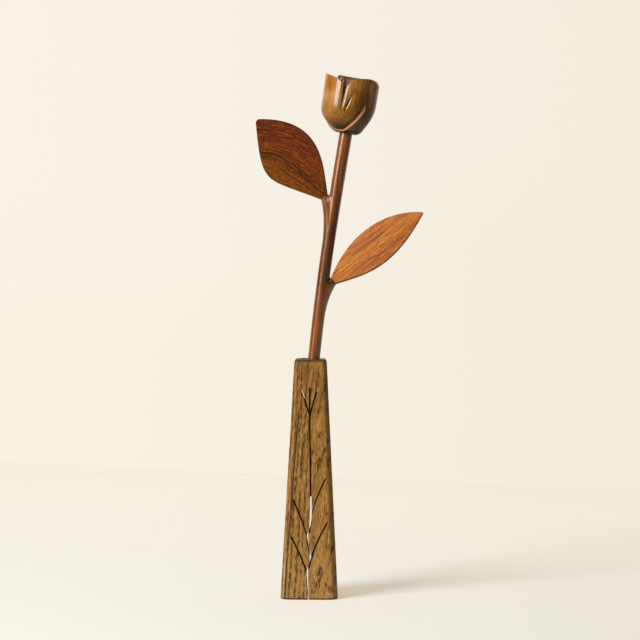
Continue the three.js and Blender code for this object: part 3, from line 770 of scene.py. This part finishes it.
class Shader:
    """A material's nodes, with short calls for the kinds that the finishes share."""

    def __init__(self, name, kind=bpy.data.materials):
        self.material = kind.new(name)
        self.material.use_nodes = True
        self.tree = self.material.node_tree
        self.colour = None

    def fill(self, node, inputs):
        for key, value in inputs.items():
            if isinstance(value, Value):
                self.tree.links.new(value.socket, node.inputs[key])
            else:
                node.inputs[key].default_value = value

    def node(self, kind, inputs, output=0, **settings):
        made = self.tree.nodes.new("ShaderNode" + kind)
        for key, value in settings.items():
            setattr(made, key, value)
        self.fill(made, inputs)
        return Value(self, made.outputs[output])

    def end(self, node, inputs):
        """Fills a node that the material starts with, and gives the material."""
        self.fill(self.tree.nodes[node], inputs)
        return self.material

    def math(self, operation, *values):
        return self.node("Math", dict(enumerate(values)), operation=operation)

    def vector(self, operation, *values, output=0):
        return self.node("VectorMath", dict(enumerate(values)), output, operation=operation)

    def axes(self, place):
        return [self.node("SeparateXYZ", {0: place}, axis) for axis in range(3)]

    def place(self, pose=Matrix()):
        """Places on a piece in millimetres, with Z along its grain."""
        inputs = {"Vector": self.node("TexCoord", {}, "Object"), "Scale": (MM, MM, MM)}
        inputs.update({"Location": pose.to_translation(), "Rotation": pose.to_euler()})
        return self.node("Mapping", inputs, vector_type="TEXTURE")

    def normal(self):
        return self.node("NewGeometry", {}, "Normal")

    def facing(self, axis):
        """How squarely the surface faces along an axis, either way."""
        return abs(self.vector("DOT_PRODUCT", self.normal(), tuple(axis), output="Value"))

    def mark(self, name):
        """A value that a piece's points carry."""
        return self.node("Attribute", {}, "Fac", attribute_name=name)

    def occlusion_shade(self):
        """How deep a place lies in a groove of its own piece, for painted shade there."""
        open_share = self.node("AmbientOcclusion", {"Distance": HIDDEN_REACH * MM}, "AO", only_local=True)
        return self.math("SUBTRACT", 1, open_share)

    def noise(self, place, stretch, detail=2, roughness=0.5, output=0):
        spot = self.vector("MULTIPLY", place, stretch)
        inputs = {"Vector": spot, "Scale": 1, "Detail": detail, "Roughness": roughness}
        return self.node("TexNoise", inputs, output)

    def noises(self, place, rows):
        return {name: self.noise(place, *row) for name, row in rows.items()}

    def sway(self, place, stretch, drift):
        """Places pushed aside by a slow noise, as grain wanders."""
        push = self.vector("SUBTRACT", self.noise(place, stretch, output="Color"), [NOISE_MIDDLE] * 3)
        return self.vector("ADD", place, self.vector("MULTIPLY", push, (drift, drift, 0)))

    def streak(self, across, along, place, half, start, end):
        """A line of the grain: its place across, half its width and where it runs."""
        fade = STREAK_FADE * (end - start)
        near = abs(across - place).rise(half, STREAK_CORE * half)
        return near * along.rise(start, start + fade) * along.rise(end, end - fade)

    def spot(self, x, z, middle_x, middle_z, reach, ragged):
        """A ragged round spot seen from the front, by its middle and its reach."""
        across, up = x - middle_x, z - middle_z
        away = self.math("SQRT", across * across + up * up)
        return (ragged * (2 * reach) + away).rise(reach, SPOT_CORE * reach)

    def zone(self, fields, parts):
        """The product of some fields, each as it is or risen over a range after its name."""
        first, *rest = [fields[name].rise(*ends) if ends else fields[name] for name, *ends in parts]
        return math.prod(rest, start=first)

    def mix(self, share, first, second):
        return self.node("Mix", {0: share, 6: first, 7: second}, 2, data_type="RGBA")

    def ramp(self, value, stops):
        """Sets the colour by a value, through stops of a place on the ramp and a tint."""
        self.colour = self.node("ValToRGB", {0: value})
        elements = self.colour.socket.node.color_ramp.elements
        while len(elements) < len(stops):
            elements.new(1.0)
        for element, (position, tint) in zip(elements, stops):
            element.position = position
            element.color = tone(*tint)

    def stain(self, amount, strength, tint):
        """Stains the colour towards a tint where an amount is high."""
        self.colour = self.mix(amount * strength, self.colour, tone(*tint))

    def stains(self, fields, rows):
        for strength, tint, *parts in rows:
            self.stain(self.zone(fields, parts), strength, tint)

    def finish(self, gloss, roughness, relief):
        """Sets the surface, with a fine relief in millimetres."""
        bump = self.node("Bump", {"Height": relief, "Strength": BUMP_STRENGTH, "Distance": MM})
        inputs = {"Base Color": self.colour, "Specular IOR Level": gloss, "Roughness": roughness}
        return self.end("Principled BSDF", {**inputs, "Normal": bump})

    def grained(self, fields, tones, stains, gloss, roughness):
        """Sets a surface whose colour follows its figure and then its stains."""
        fibre = fields["fibre"]
        self.ramp(lerp(fibre, fields["figure"], FIGURE_SHARE), tones)
        self.stains(fields, stains)
        relief = (fibre - fields["ticks"]) * FIBRE_RELIEF
        return self.finish(gloss, fibre.rise(*FIBRE_SPAN, *roughness), relief)


# In each wood, a grain holds noises as stretch, detail and roughness, tones are stops of a ramp, stains hold
# a strength, a tint and the parts of a zone, and relief is in millimetres

# Vase wood: ring-porous, with pores in upright columns on the left and in leaning rows on the right
VASE_SWAY = ((0.05, 0.05, 0.02), 1.2)
VASE_GRAIN = {
    "fibre": ((2.6, 2.6, 0.09), 4, 0.65), "mottle": ((0.3, 0.3, 0.03), 3), "specks": ((2, 2, 0.45), 3, 0.6),
    "strokes": ((1.5, 1.5, 0.16), 2, 0.55), "pores": ((1.5, 1.5, 0.24), 2, 0.55),
}
VASE_DRIFT = {
    "wander": ((0.09, 0.09, 0.012),), "clusters": ((0.1, 0.1, 0.05),), "breaks": ((0.2, 0.2, 0.1), 3),
}
VASE_COLUMNS = {"lean": 0.06, "step": 3.1, "drift": 2.2, "edge": (0.18, 0.4)}
VASE_ROWS = {"lean": 0.27, "step": 6.5, "drift": 2.5, "edge": (0.26, 0.44), "clusters": (0.42, 0.58)}
VASE_SIDES = (-3, 5)
VASE_TICKS = {"pull": 0.17, "edge": (0.6, 0.7)}
VASE_STREAK = {"foot": -17, "lean": 0.053, "bend": 0.00013}
VASE_MOTTLE_SHARE = 0.45
VASE_TONES = ((0.32, (112, 70, 20)), (0.45, (142, 95, 32)), (0.56, (164, 114, 45)), (0.7, (192, 143, 74)))
VASE_STAINS = (
    (0.55, (214, 164, 92), ("strokes", 0.5, 0.64)),
    (0.35, (206, 160, 96), ("z", 70, 0)),
    (0.22, (100, 64, 18), ("z", 105, 165)),
    (0.2, (122, 78, 28), ("porous",)),
    (0.45, (98, 60, 20), ("specks", 0.53, 0.66)),
    (0.85, (54, 30, 10), ("ticks",)),
    (0.9, (36, 20, 8), ("off_streak", 1, 0.2), ("breaks", 0.3, 0.46), ("z", 140, 125)),
)
# Darker where the block faces up or down: end grain on its top, painted shade on the foot's rounding, then
# near-black painted shade under the foot
VASE_END_GRAIN_AND_FOOT_SHADE = (
    (0.82, (56, 36, 24), ("end_grain_and_foot_shade", 0.16, 0.5)),
    (1, (8, 5, 3), ("upward", -0.04, -0.2)),
)
VASE_GLOSS = 0.25
VASE_ROUGHNESS = {"fibre": (0.6, 0.46), "flat_top": (0.9, 0.99, 0, 0.25)}
VASE_RELIEF = {"fibre": 0.056, "ticks": 0.14}

# Darker spots of the vase's right side: place across and up, reach and strength
VASE_KNOTS = (
    (11.8, 60, 2.2, 0.6), (12.8, 36.5, 2.8, 0.5), (14.6, 8, 3.4, 0.6),
    (6.3, 18, 1.8, 0.7), (3.2, 5, 1.6, 0.7), (1.2, 29, 1.8, 0.5),
)
VASE_KNOT_TINT = (66, 40, 18)


def vase_wood():
    wood = Shader("vase_wood")
    raw = wood.place()
    x, y, z = wood.axes(wood.sway(raw, *VASE_SWAY))
    leaned = wood.node("CombineXYZ", {0: x - z * VASE_COLUMNS["lean"], 1: y, 2: z})
    fields = {"z": z, **wood.noises(leaned, VASE_GRAIN), **wood.noises(raw, VASE_DRIFT)}

    def bands(lines):
        """Bands of pores a step apart, which lean and wander a little."""
        phase = fields["wander"] * lines["drift"] + (x - z * lines["lean"]) * (1 / lines["step"])
        return wood.math("PINGPONG", phase, 0.5).rise(*lines["edge"])

    rows = bands(VASE_ROWS) * fields["clusters"].rise(*VASE_ROWS["clusters"])
    fields["porous"] = wood.node("Mix", {0: x.rise(*VASE_SIDES), 2: bands(VASE_COLUMNS), 3: rows})
    fields["ticks"] = (fields["porous"] * VASE_TICKS["pull"] + fields["pores"]).rise(*VASE_TICKS["edge"])
    streak_x = (z * VASE_STREAK["bend"] + VASE_STREAK["lean"]) * z + VASE_STREAK["foot"]
    fields["off_streak"] = abs(x - streak_x)
    fields["end_grain_and_foot_shade"] = wood.facing(UP)
    fields["upward"] = wood.axes(wood.normal())[2]
    fibre = fields["fibre"]
    wood.ramp(lerp(fibre, fields["mottle"], VASE_MOTTLE_SHARE), VASE_TONES)
    wood.stains(fields, VASE_STAINS)
    for *spot, strength in VASE_KNOTS:
        wood.stain(wood.spot(x, z, *spot, fields["pores"] - NOISE_MIDDLE), strength, VASE_KNOT_TINT)
    wood.stains(fields, VASE_END_GRAIN_AND_FOOT_SHADE)
    flat_top = fields["upward"].rise(*VASE_ROUGHNESS["flat_top"])
    roughness = fibre.rise(*FIBRE_SPAN, *VASE_ROUGHNESS["fibre"]) - flat_top
    relief = fibre * VASE_RELIEF["fibre"] - fields["ticks"] * VASE_RELIEF["ticks"]
    return wood.finish(VASE_GLOSS, roughness, relief)


# Near-black wood on the walls of the saw cuts and of the stem's hole, painted shade where little light gets
# in
KERF_GRAIN = ((1.5, 0.2, 0.4), 3)
KERF_SHADE_TONES = ((0.3, (6, 4, 3)), (0.7, (14, 9, 6)))
KERF_GLOSS = 0.03
KERF_ROUGHNESS = (0.95, 0.8)
KERF_RELIEF = 0.1


def kerf_painted_shade():
    wood = Shader("kerf_painted_shade")
    fibre = wood.noise(wood.place(), *KERF_GRAIN)
    wood.ramp(fibre, KERF_SHADE_TONES)
    return wood.finish(KERF_GLOSS, fibre.rise(*FIBRE_SPAN, *KERF_ROUGHNESS), fibre * KERF_RELIEF)


# Bud wood: pale and streaked above, olive and dotted low on the front, grey-brown on the outer petal as
# painted shade, with painted light and shade on its carving
BUD_SWAY = ((0.06, 0.06, 0.05), 3)
BUD_GRAIN = {
    "fibre": ((2.6, 2.6, 0.1), 4, 0.6), "figure": ((0.75, 0.75, 0.035), 3, 0.6),
    "dots": ((1.5, 1.5, 1.1), 2, 0.6), "ticks": ((1.8, 1.8, 0.16),),
}
BUD_TICKS = (0.56, 0.7)
BUD_TONES = ((0.34, (100, 58, 14)), (0.46, (146, 88, 24)), (0.56, (184, 121, 50)), (0.7, (224, 170, 104)))
BUD_LEFT = (-5, -13)
BUD_PATCH = (1, 34, 6)
BUD_STAINS = (
    # Paler on the upper left petal: painted sheen from the light on that side
    (0.25, (226, 178, 124), ("left",), ("height", 30, 23)),
    (0.5, (150, 90, 28), ("left",), ("height", 26, 35)),
    (0.55, (122, 80, 8), ("height", 26, 14)),
    # Orange low on the left: painted light where the light falls on the lower left
    (0.8, (206, 122, 42), ("left",), ("height", 12.5, 8), ("height", 2.5, 5)),
    (0.3, (206, 150, 80), ("patch",)),
    (0.4, (72, 42, 4), ("across", 1, 7), ("height", 32, 26)),
    (0.6, (92, 54, 10), ("dots", 0.52, 0.64), ("height", 26, 14)),
    (0.35, (200, 138, 46), ("dots", 0.46, 0.36), ("height", 26, 14)),
    (0.6, (82, 48, 12), ("ticks",)),
    # Grey-brown on the outer petal: painted shade of the bud's side away from the light, eased low down and
    # far to the right
    (0.72, (96, 70, 50), ("wrapped",)),
    (0.5, (152, 110, 80), ("wrapped",), ("across", 10.5, 15)),
    (0.6, (150, 112, 80), ("wrapped",), ("height", 17, 6)),
    # Painted highlight along the outer petal's cut edge, fainter to the left
    (0.75, (190, 132, 92), ("cut_edge",), ("figure", 0.3, 0.6, 0.6, 1), ("height", 20, 7, 0.05, 1.25)),
    # Painted sheen on the hollow's inner walls
    (0.8, (162, 120, 98), ("inside",)),
    # Painted shade on the end face of the outer petal's wall in the hollow
    (0.8, (90, 54, 34), ("back_end",)),
    # Painted highlight on the facet left of the main groove
    (0.6, (186, 142, 104), ("facet",)),
    # Painted shade on the roll that turns into the groove, away from the light
    (0.55, (108, 68, 8), ("roll",)),
    # Darker where the bud faces along its axis: end grain on the rim tops, with painted shade there and on
    # the hollow's floor
    (0.9, (34, 18, 10), ("rim", 0.45, 0.8)),
    # Painted shade deep in grooves and in the hollow, lighter on the left
    (0.9, (30, 15, 6), ("occlusion_shade", 0.34, 0.6), ("left", 0, 1, 1, 0.4)),
    # Painted shade in the grooves' slots
    (0.95, (20, 10, 5), ("slot_shade",)),
)
BUD_GLOSS = [("height", 13, 21, 0.12, 0.6), ("across", 3, 8, 1, 0.3), ("cut_edge", 0, 1, 1, 0.3)]
BUD_FACET_GLOSS = 0.35
BUD_ROUGHNESS = (0.24, 0.165)


def bud_wood():
    wood = Shader("bud_wood")
    raw = wood.place(bud_frame)
    across, _, height = wood.axes(raw)
    fields = {"across": across, "height": height, "left": across.rise(*BUD_LEFT), "occlusion_shade": wood.occlusion_shade()}
    fields.update(wood.noises(wood.sway(raw, *BUD_SWAY), BUD_GRAIN))
    fields.update({name: wood.mark(name) for name in BUD_MARKS})
    fields["patch"] = wood.spot(across, height, *BUD_PATCH, fields["dots"] - NOISE_MIDDLE)
    fields["ticks"] = fields["ticks"].rise(*BUD_TICKS)
    fields["rim"] = wood.facing(neck_direction)
    gloss = wood.zone(fields, BUD_GLOSS) + fields["facet"] * BUD_FACET_GLOSS
    return wood.grained(fields, BUD_TONES, BUD_STAINS, gloss, BUD_ROUGHNESS)


# Stem wood: red-brown, darker between its forks, with painted shade on its right side there; the twigs' cut
# ends have a place across and up and a reach, and carry a painted highlight on the upper end and painted
# shade on the lower
STEM_SWAY = ((0.08, 0.08, 0.02), 3)
STEM_GRAIN = {
    "fibre": ((2.6, 2.6, 0.06), 4, 0.6), "figure": ((0.8, 0.8, 0.016), 3, 0.55),
    "ticks": ((1.8, 1.8, 0.12),),
}
STEM_TICKS = (0.58, 0.72)
STEM_RAGGED = ((0.6, 0.6, 0.4), 3)
STEM_TONES = ((0.34, (70, 35, 6)), (0.47, (120, 63, 16)), (0.58, (154, 84, 25)), (0.7, (180, 107, 40)))
TWIG_CUTS = {"upper_cut_highlight": (12, 278, 2.4), "lower_cut_shade": (14, 221.8, 5.2)}
STEM_STAINS = (
    (0.5, (54, 26, 10), ("ticks",)),
    # Painted highlight on the upper twig's cut end, painted shade on the lower one
    (0.8, (190, 152, 130), ("upper_cut_highlight",)),
    (0.8, (38, 20, 9), ("lower_cut_shade",)),
    # Painted shade on the right-facing side between the forks
    (0.6, (40, 20, 3), ("rightward", -0.2, 0.4), ("z", 185, 235), ("z", 290, 262)),
    (0.36, (48, 22, 2), ("z", 208, 226), ("z", 270, 250)),
    # Painted shade deep in the forks
    (0.8, (34, 18, 8), ("occlusion_shade", 0.3, 0.6)),
)
STEM_GLOSS = 1
STEM_ROUGHNESS = (0.25, 0.18)


def stem_wood():
    wood = Shader("stem_wood")
    turned = wood.place(Matrix.Rotation(math.radians(STEM_NECK_LEAN_DEG / 2), 4, "Y"))
    fields = wood.noises(wood.sway(turned, *STEM_SWAY), STEM_GRAIN)
    fields["ticks"] = fields["ticks"].rise(*STEM_TICKS)
    raw = wood.place()
    x, _, z = wood.axes(raw)
    ragged = wood.noise(raw, *STEM_RAGGED) - NOISE_MIDDLE
    fields.update({name: wood.spot(x, z, *spot, ragged) for name, spot in TWIG_CUTS.items()})
    fields.update({"z": z, "rightward": wood.axes(wood.normal())[0], "occlusion_shade": wood.occlusion_shade()})
    return wood.grained(fields, STEM_TONES, STEM_STAINS, STEM_GLOSS, STEM_ROUGHNESS)


# Leaf woods: the way that the grain leaves a leaf's axis, tones from one side of a leaf to the other, and
# lines of the grain as place across, half width, start and end along the leaf, and strength
LEAF_SWAY = (0.09, 0.09, 0.06)
LEAF_GRAIN = {
    "fibre": ((2.8, 2.8, 0.07), 4, 0.65), "figure": ((0.7, 0.7, 0.025), 3, 0.6),
    "glints": ((1.2, 1.2, 0.09), 4, 0.65), "fine": ((1.7, 1.7, 0.05), 3, 0.6), "ticks": ((2, 2, 0.2),),
}
LEAF_DRIFT = {"mottle": ((0.32, 0.32, 0.32), 4, 0.6), "patches": ((0.7, 0.7, 0.5), 5, 0.7)}
LEAF_SHARES = {"figure": 0.5, "fibre": 0.3, "mottle": 0.2}
LEAF_KINK_REACH = 5
LEAF_MARKS = {
    "glints": (0.5, 0.62), "fine": (0.5, 0.62), "patches": (0.48, 0.6), "ticks": (0.56, 0.68),
    "edge": (0.985, 0.88),
}
LEAF_STRENGTHS = {"glints": 0.6, "fine": 0.62, "ticks": 0.55, "edge": 0.92}
LEAF_EDGE_SHADE_TINT = (24, 11, 6)
LEAF_ROUGHNESS = (0.5, 0.36)
LEAF_RELIEF = {"fibre": 0.04, "ticks": 0.048}
UPPER_GRAIN = {
    "lean": 0.22, "kink": 0.53, "kink_at": 41, "sway": 3.5, "span": (-26, 10), "waver": 0.9,
    "patches": 0.5, "gloss": 0.08, "light": (166, 84, 24), "dark": (44, 21, 8),
    "tones": (
        (0, (100, 42, 18)), (0.27, (113, 48, 16)), (0.345, (134, 65, 10)), (0.42, (101, 45, 10)),
        (0.5, (122, 65, 11)), (0.56, (90, 48, 10)), (0.6, (70, 37, 9)), (0.645, (94, 52, 9)),
        (0.72, (117, 63, 10)), (0.8, (130, 73, 11)), (1, (124, 69, 11)),
    ),
    "lines": (
        (-9.5, 0.8, 42, 58, 0.8), (-6.2, 1, 38, 58, 0.9), (2, 0.6, 4, 40, 0.7), (-13.3, 0.6, 12, 27, 0.6),
        (-25.5, 0.5, 55, 71, 0.9),
    ),
}
LOWER_GRAIN = {
    "lean": 0, "kink": 0, "kink_at": 0, "sway": 2, "span": (-13, 15), "waver": 1.6,
    "patches": 0.35, "gloss": 0.16, "light": (228, 154, 76), "dark": (112, 58, 30),
    "tones": (
        (0, (188, 102, 32)), (0.3, (168, 88, 28)), (0.46, (196, 113, 32)), (0.6, (210, 126, 40)),
        (0.74, (184, 102, 32)), (1, (200, 118, 42)),
    ),
    "lines": (
        (6, 1.5, 16, 56, 0.6), (-5.3, 1.6, 28, 64, 0.5), (1.2, 0.4, 2, 42, 0.6), (9.2, 1.1, 22, 54, 0.45),
        (-1.5, 0.5, 20, 70, 0.35),
    ),
}


def leaf_wood(name, leaf, twig, grain):
    wood = Shader(name)
    placed = leaf_frame(leaf, twig)
    along_z = placed @ Matrix(((0, 0, 1, 0), (1, 0, 0, 0), (0, 1, 0, 0), (0, 0, 0, 1)))
    raw = wood.place(along_z)
    x, y, along = wood.axes(wood.sway(raw, LEAF_SWAY, grain["sway"]))
    past = wood.math("SMOOTH_MAX", along - grain["kink_at"], 0, LEAF_KINK_REACH)
    across = x - (along * grain["lean"] + past * grain["kink"])
    place = wood.node("CombineXYZ", {0: across, 1: y, 2: along})
    fields = {**wood.noises(place, LEAF_GRAIN), **wood.noises(raw, LEAF_DRIFT)}
    fields["edge"] = wood.facing(placed.to_3x3() @ Vector((0, 0, 1)))
    marks = {name: fields[name].rise(*edge) for name, edge in LEAF_MARKS.items()}
    low, high = grain["span"]
    band = wood.node("MapRange", {"Value": across, "From Min": low, "From Max": high})
    figure, fibre, mottle = (fields[name] * share for name, share in LEAF_SHARES.items())
    dark = grain["dark"]
    wood.ramp((figure + fibre + mottle - NOISE_MIDDLE) * grain["waver"] + band, grain["tones"])
    wood.stain(marks["glints"], LEAF_STRENGTHS["glints"], grain["light"])
    wood.stain(marks["fine"], LEAF_STRENGTHS["fine"], dark)
    wood.stain(marks["patches"], grain["patches"], dark)
    for *line, strength in grain["lines"]:
        wood.stain(wood.streak(across, along, *line), strength, dark)
    wood.stain(marks["ticks"], LEAF_STRENGTHS["ticks"], dark)
    # Painted shade on the board's edges, where they turn away from its faces
    wood.stain(marks["edge"], LEAF_STRENGTHS["edge"], LEAF_EDGE_SHADE_TINT)
    relief = fields["fibre"] * LEAF_RELIEF["fibre"] - marks["ticks"] * LEAF_RELIEF["ticks"]
    return wood.finish(grain["gloss"], fields["fibre"].rise(*FIBRE_SPAN, *LEAF_ROUGHNESS), relief)


# Steel of the pins
STEEL_SCRATCHES = ((6, 6, 0.6), 3)
STEEL_TONES = ((0.3, (150, 146, 138)), (0.7, (186, 182, 174)))
STEEL_ROUGHNESS = (0.3, 0.45)


def pin_steel():
    steel = Shader("pin_steel")
    scratch = steel.noise(steel.place(), *STEEL_SCRATCHES)
    steel.ramp(scratch, STEEL_TONES)
    roughness = scratch.rise(*FIBRE_SPAN, *STEEL_ROUGHNESS)
    return steel.end("Principled BSDF", {"Base Color": steel.colour, "Metallic": 1, "Roughness": roughness})


# Dressing
def coat(piece, *materials):
    piece.data.materials.clear()
    for material in materials:
        piece.data.materials.append(material)


def dress(piece, node, body, slot, *materials):
    coat(piece, *materials)
    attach(piece, body)
    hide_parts(node)


dress(vase_block(), "vase", "vase", "vase_wood", vase_wood(), kerf_painted_shade())
dress(rose_stem(), "stem", "rose", "stem_wood", stem_wood())
dress(carved_bud(), "rosebud", "rose", "bud_wood", bud_wood())
for node, leaf, twig, slot, grain in (
    ("upper_leaf", UPPER_LEAF, upper_twig, "dark_leaf_wood", UPPER_GRAIN),
    ("lower_leaf", LOWER_LEAF, lower_twig, "light_leaf_wood", LOWER_GRAIN),
):
    dress(leaf_board(node + "_board", leaf, twig), node, "rose", slot, leaf_wood(slot, leaf, twig, grain))

steel = pin_steel()
for pin in ("upper_leaf_pin", "lower_leaf_pin"):
    coat(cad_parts[pin], steel)

# Stage: a pale floor, set askew to the camera as in the photo, that fades into an even backdrop
STAGE_TURN_DEG = -23
STAGE_REACH = 3
FLOOR_END = (0.72, 0.83)
FLOOR_FADE = (1.05, 1.7)
FLOOR_TURN_PALE = (-0.3, 0.7)
CARD_DISTANCE = 0.86
CARD_HEIGHT = 3
PAPER_LIT = (0.45, 0.505, 0.555, 1)
FLOOR_GLOW = (0.48, 0.402, 0.276, 1)
BACK_GLOW = (0.645, 0.555, 0.42, 1)
CARD_GLOW = (0.568, 0.452, 0.322, 1)
GLOW_BY_SIDE = (-0.4, 0.4, 1.02, 0.975)
BACKDROP = {
    "low": ((250, 243, 229), (243, 235, 219)), "high": ((250, 243, 233), (243, 236, 223)),
    "reach": 0.15, "heights": (-0.08, 0.06),
}
FILL = {"Color": (1, 0.97, 0.92, 1), "Strength": 0.06}


def paper(shader, tint, strength):
    """Pale paper with a warm glow of its own, which keeps the shadow on it soft."""
    camera, glossy = (shader.node("LightPath", {}, f"Is {kind} Ray") for kind in ("Camera", "Glossy"))
    lit = shader.node("BsdfDiffuse", {"Color": PAPER_LIT})
    glow = shader.node("Emission", {"Color": tint, "Strength": (camera + glossy) * strength})
    return shader.node("AddShader", {0: lit, 1: glow})


def floor_paper():
    shader = Shader("floor_paper")
    place = shader.node("TexCoord", {}, "Object")
    turn = math.radians(STAGE_TURN_DEG)
    depth = shader.vector("DOT_PRODUCT", place, (-math.sin(turn), math.cos(turn), 0), output="Value")
    tint = shader.mix(depth.rise(*FLOOR_TURN_PALE), FLOOR_GLOW, BACK_GLOW)
    away = shader.vector("LENGTH", place, output="Value")
    gone = shader.math("MAXIMUM", depth.rise(*FLOOR_END), away.rise(*FLOOR_FADE))
    seen = paper(shader, tint, shader.axes(place)[0].rise(*GLOW_BY_SIDE))
    surface = shader.node("MixShader", {0: gone, 1: seen, 2: shader.node("BsdfTransparent", {})})
    return shader.end("Material Output", {"Surface": surface})


def card_paper():
    shader = Shader("card_paper")
    return shader.end("Material Output", {"Surface": paper(shader, CARD_GLOW, 1)})


def backdrop():
    """A pale tone for the camera, a little darker to the right, and a faint fill."""
    shader = Shader("backdrop", bpy.data.worlds)
    x, _, z = shader.axes(shader.node("TexCoord", {}, "Generated"))
    right = x.rise(-BACKDROP["reach"], BACKDROP["reach"])
    low, high = (shader.mix(right, *(tone(*end) for end in BACKDROP[level])) for level in ("low", "high"))
    seen = shader.node("Background", {"Color": shader.mix(z.rise(*BACKDROP["heights"]), low, high)})
    camera_ray = shader.node("LightPath", {}, "Is Camera Ray")
    surface = shader.node("MixShader", {0: camera_ray, 1: shader.node("Background", FILL), 2: seen})
    return shader.end("World Output", {"Surface": surface})


def stage_sheet(name, near, far, material):
    """A sheet as wide as the stage, between two edges that are given in depth and height."""
    sides = (-STAGE_REACH, STAGE_REACH)
    corners = [*((x, *near) for x in sides), *((x, *far) for x in sides[::-1])]
    mesh = bpy.data.meshes.new(name)
    mesh.from_pydata(corners, [], [range(len(corners))])
    mesh.transform(Matrix.Rotation(math.radians(STAGE_TURN_DEG), 4, "Z"))
    mesh.materials.append(material)
    sheet = add_object(name, mesh)
    return sheet


stage_sheet("stage_floor", (-STAGE_REACH, 0), (STAGE_REACH, 0), floor_paper())

# A card behind the object gives its light and its reflections, and the camera doesn't see it
card = stage_sheet("stage_card", (CARD_DISTANCE, 0), (CARD_DISTANCE, CARD_HEIGHT), card_paper())
card.visible_camera = False
bpy.context.scene.world = backdrop()

# Light: a softbox from the left front, a wide one overhead and a weak upright strip for the gloss,
# each with its place, aim, size, power and colour
SOFTBOXES = {
    "key": ((-1.18, -1.08, 1.04), (0, 0, 0.18), (0.85, 0.85), 42, (1, 0.98, 0.95)),
    "overhead": ((-0.3, 0, 2.2), (0, 0.1, 0), (2.4, 2.4), 7, (1, 0.96, 0.9)),
    "strip": ((-1.24, -1, 0.3), (0, 0, 0.27), (0.1, 0.5), 1.3, (1, 0.97, 0.96)),
}

for name, (place, aim, size, power, colour) in SOFTBOXES.items():
    lamp = bpy.data.lights.new(name, "AREA")
    lamp.shape = "RECTANGLE"
    lamp.size, lamp.size_y = size
    lamp.energy = power
    lamp.color = colour
    box = add_object(name, lamp)
    box.location = place
    box.rotation_euler = (Vector(aim) - Vector(place)).to_track_quat("-Z", "Y").to_euler()

# Camera: the photo's view
CAMERA_PLACE = (0.0064, -1.7, 0.2504)
CAMERA_PITCH_DEG = -1.9
CAMERA_ROLL_DEG = 0.33
CAMERA_LENS = 136.6

lens = bpy.data.cameras.new("camera")
lens.lens = CAMERA_LENS
camera = add_object("camera", lens)
camera.matrix_world = (
    Matrix.Translation(CAMERA_PLACE)
    @ Matrix.Rotation(math.radians(90 + CAMERA_PITCH_DEG), 4, "X")
    @ Matrix.Rotation(math.radians(CAMERA_ROLL_DEG), 4, "Z")
)
bpy.context.scene.camera = camera
bpy.context.scene.view_settings.view_transform = "Standard"
